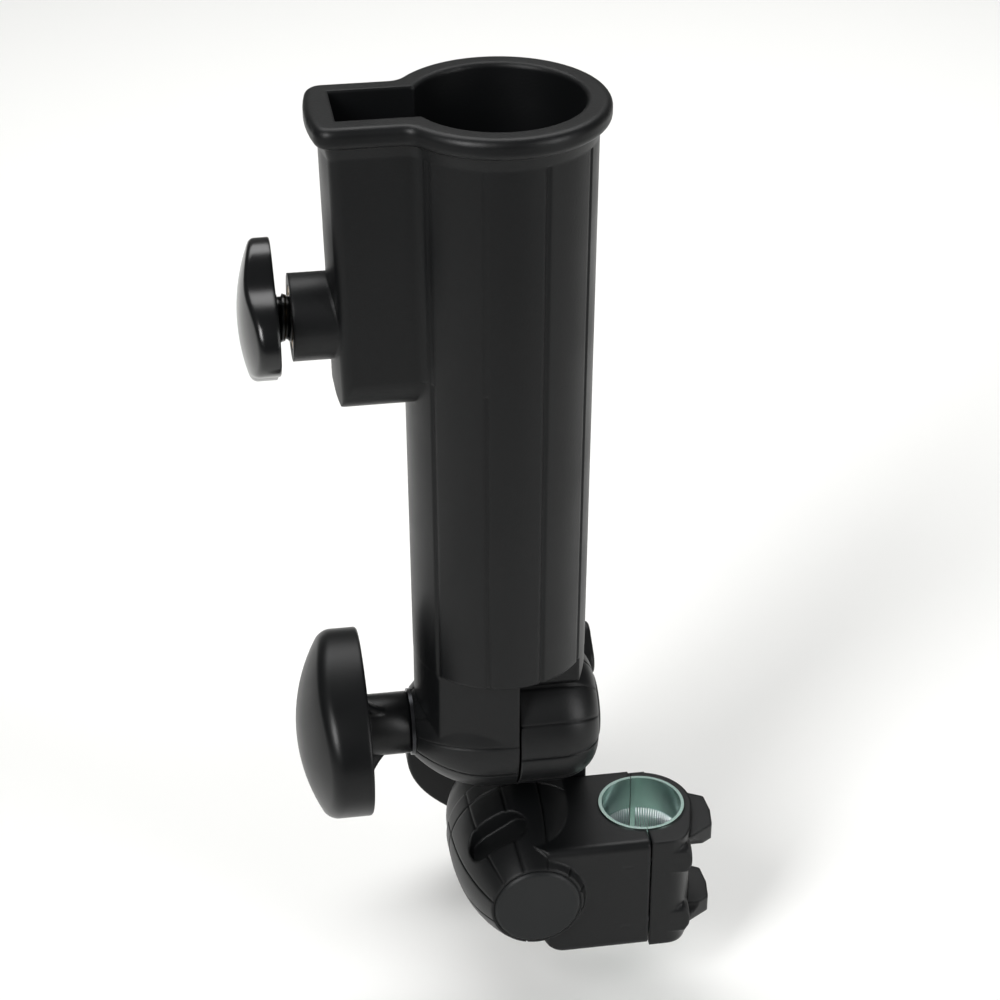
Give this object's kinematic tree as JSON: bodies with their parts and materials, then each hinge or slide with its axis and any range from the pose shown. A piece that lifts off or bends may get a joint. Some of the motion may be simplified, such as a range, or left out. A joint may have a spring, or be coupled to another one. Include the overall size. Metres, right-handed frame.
{
  "type": "rod holder",
  "caption": "Keyhole-section rod holder tube with a side clamp screw, on a tilting and swinging bracket with a split rail clamp.",
  "frame": {"origin": "middle of the rail bore in the split clamp", "axes": "+Z along the rail bore and up the tube, +X from the tube towards the clamp cap, -Y the front face"},
  "size_m": [0.1412, 0.103, 0.2898],
  "materials": {
    "moulded_nylon": "fine moulded texture, satin",
    "knob_nylon": "satin",
    "gloss_knob": "polished",
    "cap_nylon": "smooth satin",
    "zinc_sleeve": "green passivated zinc plate",
    "zinc_steel": "bright zinc plate",
    "black_steel": "black zinc plate",
    "spring_steel": "oiled",
    "brass": "machined",
    "rubber": "moulded"
  },
  "bodies": {
    "clamp": {"clamp_body": "moulded_nylon", "sleeve_body_half": "zinc_sleeve", "swing_bolt": "zinc_steel", "swing_bolt_cap": "cap_nylon", "clamp_nut_1": "zinc_steel", "clamp_nut_2": "zinc_steel", "clamp_nut_3": "zinc_steel", "clamp_nut_4": "zinc_steel"},
    "elbow": {"elbow": "moulded_nylon", "tilt_bolt": "zinc_steel", "tilt_bolt_cap": "cap_nylon", "swing_spring": "spring_steel", "tilt_spring": "spring_steel"},
    "holder": {"holder_tube": "moulded_nylon", "boss_insert": "brass"},
    "tilt_washer": {"tilt_washer": "black_steel"},
    "tilt_knob": {"tilt_knob": "knob_nylon", "tilt_knob_insert": "brass"},
    "swing_washer": {"swing_washer": "black_steel"},
    "swing_knob": {"swing_knob": "knob_nylon", "swing_knob_insert": "brass"},
    "pad": {"rod_pad": "knob_nylon", "pad_facing": "rubber"},
    "rod_knob": {"rod_knob": "gloss_knob", "rod_screw": "knob_nylon"},
    "cap": {"clamp_cap": "moulded_nylon", "sleeve_cap_half": "zinc_sleeve"},
    "clamp_screw_1": {"clamp_screw_1": "zinc_steel"},
    "clamp_screw_2": {"clamp_screw_2": "zinc_steel"},
    "clamp_screw_3": {"clamp_screw_3": "zinc_steel"},
    "clamp_screw_4": {"clamp_screw_4": "zinc_steel"}
  },
  "joints": [
    {"name": "swing", "type": "hinge", "parent": "clamp", "child": "elbow", "pos_m": [-0.0375, 0, 0.0025], "axis": [0, 1, 0], "range_deg": [-90, 15]},
    {"name": "tilt", "type": "hinge", "parent": "elbow", "child": "holder", "pos_m": [-0.0417, 0.0075, 0.0559], "axis": [1, 0, 0], "range_deg": [-55, 90]},
    {"name": "tilt_washer_slide", "type": "slide", "parent": "holder", "child": "tilt_washer", "axis": [-1, 0, 0], "range_m": [0, 0.003]},
    {"name": "tilt_knob_turn", "type": "hinge", "parent": "tilt_washer", "child": "tilt_knob", "pos_m": [-0.0935, 0.0075, 0.0559], "axis": [-1, 0, 0], "range_deg": [0, 724]},
    {"name": "swing_washer_slide", "type": "slide", "parent": "elbow", "child": "swing_washer", "axis": [0, 1, 0], "range_m": [0, 0.003]},
    {"name": "swing_knob_turn", "type": "hinge", "parent": "swing_washer", "child": "swing_knob", "pos_m": [-0.0375, 0.06, 0.0025], "axis": [0, 1, 0], "range_deg": [0, 724]},
    {"name": "pad_slide", "type": "slide", "parent": "holder", "child": "pad", "axis": [-1, 0, 0], "range_m": [-0.004, 0.005]},
    {"name": "rod_knob_turn", "type": "hinge", "parent": "pad", "child": "rod_knob", "pos_m": [-0.1086, 0.0075, 0.1996], "axis": [-1, 0, 0], "range_deg": [-724, 904]},
    {"name": "cap_slide", "type": "slide", "parent": "clamp", "child": "cap", "axis": [1, 0, 0], "range_m": [0, 0.00245]},
    {"name": "clamp_screw_1_turn", "type": "hinge", "parent": "cap", "child": "clamp_screw_1", "pos_m": [0.0064, -0.0162, 0.012], "axis": [1, 0, 0], "range_deg": [0, 1264]},
    {"name": "clamp_screw_2_turn", "type": "hinge", "parent": "cap", "child": "clamp_screw_2", "pos_m": [0.0064, -0.0162, -0.012], "axis": [1, 0, 0], "range_deg": [0, 1264]},
    {"name": "clamp_screw_3_turn", "type": "hinge", "parent": "cap", "child": "clamp_screw_3", "pos_m": [0.0055, 0.0192, 0.012], "axis": [1, 0, 0], "range_deg": [0, 1264]},
    {"name": "clamp_screw_4_turn", "type": "hinge", "parent": "cap", "child": "clamp_screw_4", "pos_m": [0.0055, 0.0192, -0.012], "axis": [1, 0, 0], "range_deg": [0, 1264]}
  ],
  "couplings": [
    {"joint": "tilt_knob_turn", "follows": "tilt_washer_slide", "rad_per_m": 4188.8},
    {"joint": "swing_knob_turn", "follows": "swing_washer_slide", "rad_per_m": 4188.8},
    {"joint": "rod_knob_turn", "follows": "pad_slide", "rad_per_m": 3141.6},
    {"joint": "clamp_screw_1_turn", "follows": "cap_slide", "rad_per_m": 8976},
    {"joint": "clamp_screw_2_turn", "follows": "cap_slide", "rad_per_m": 8976},
    {"joint": "clamp_screw_3_turn", "follows": "cap_slide", "rad_per_m": 8976},
    {"joint": "clamp_screw_4_turn", "follows": "cap_slide", "rad_per_m": 8976}
  ]
}
